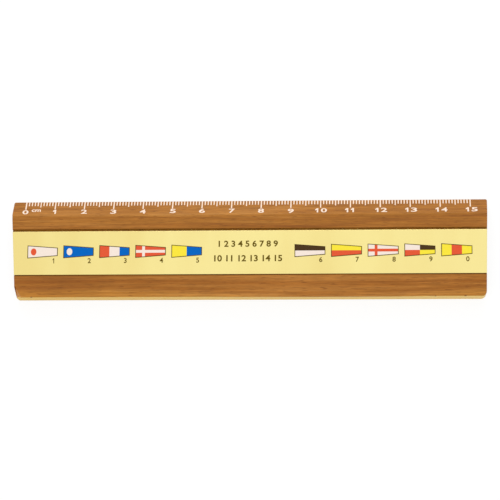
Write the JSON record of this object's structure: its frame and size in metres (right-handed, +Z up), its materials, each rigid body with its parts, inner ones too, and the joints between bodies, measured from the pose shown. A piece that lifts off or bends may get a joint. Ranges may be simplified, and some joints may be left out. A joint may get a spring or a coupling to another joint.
{
  "type": "straight ruler",
  "caption": "Straight hardwood ruler with a bevelled centimetre scale edge and a let-in brass strip printed with numeral pennants.",
  "frame": {"origin": "middle of the flat underside, under the middle of the bar's length and width", "axes": "+X along the scale from 0 to 15, +Y across the bar to the bevelled scale edge, +Z up out of the brass face"},
  "size_m": [0.16, 0.0332, 0.0071],
  "materials": {
    "varnished_hardwood": "satin varnish over fine straight grain",
    "lacquered_brass": "satin, brushed lengthwise and lacquered",
    "amber_adhesive": "dark amber bond line",
    "white_scale_ink": "warm white printing ink on varnish",
    "white_sign_ink": "opaque white printing ink",
    "red_sign_ink": "opaque red printing ink",
    "blue_sign_ink": "opaque blue printing ink",
    "yellow_sign_ink": "opaque yellow printing ink",
    "black_sign_ink": "opaque black printing ink",
    "olive_sign_ink": "thin olive brown printing ink"
  },
  "bodies": {
    "root": {"wood_bar": "varnished_hardwood", "brass_strip": "lacquered_brass", "adhesive_film": "amber_adhesive", "millimetre_marks": "white_scale_ink", "half_centimetre_marks": "white_scale_ink", "centimetre_marks": "white_scale_ink", "pennant_white_ink": "white_sign_ink", "pennant_red_ink": "red_sign_ink", "pennant_blue_ink": "blue_sign_ink", "pennant_yellow_ink": "yellow_sign_ink", "pennant_black_ink": "black_sign_ink", "pennant_outline_ink": "olive_sign_ink"}
  },
  "joints": []
}
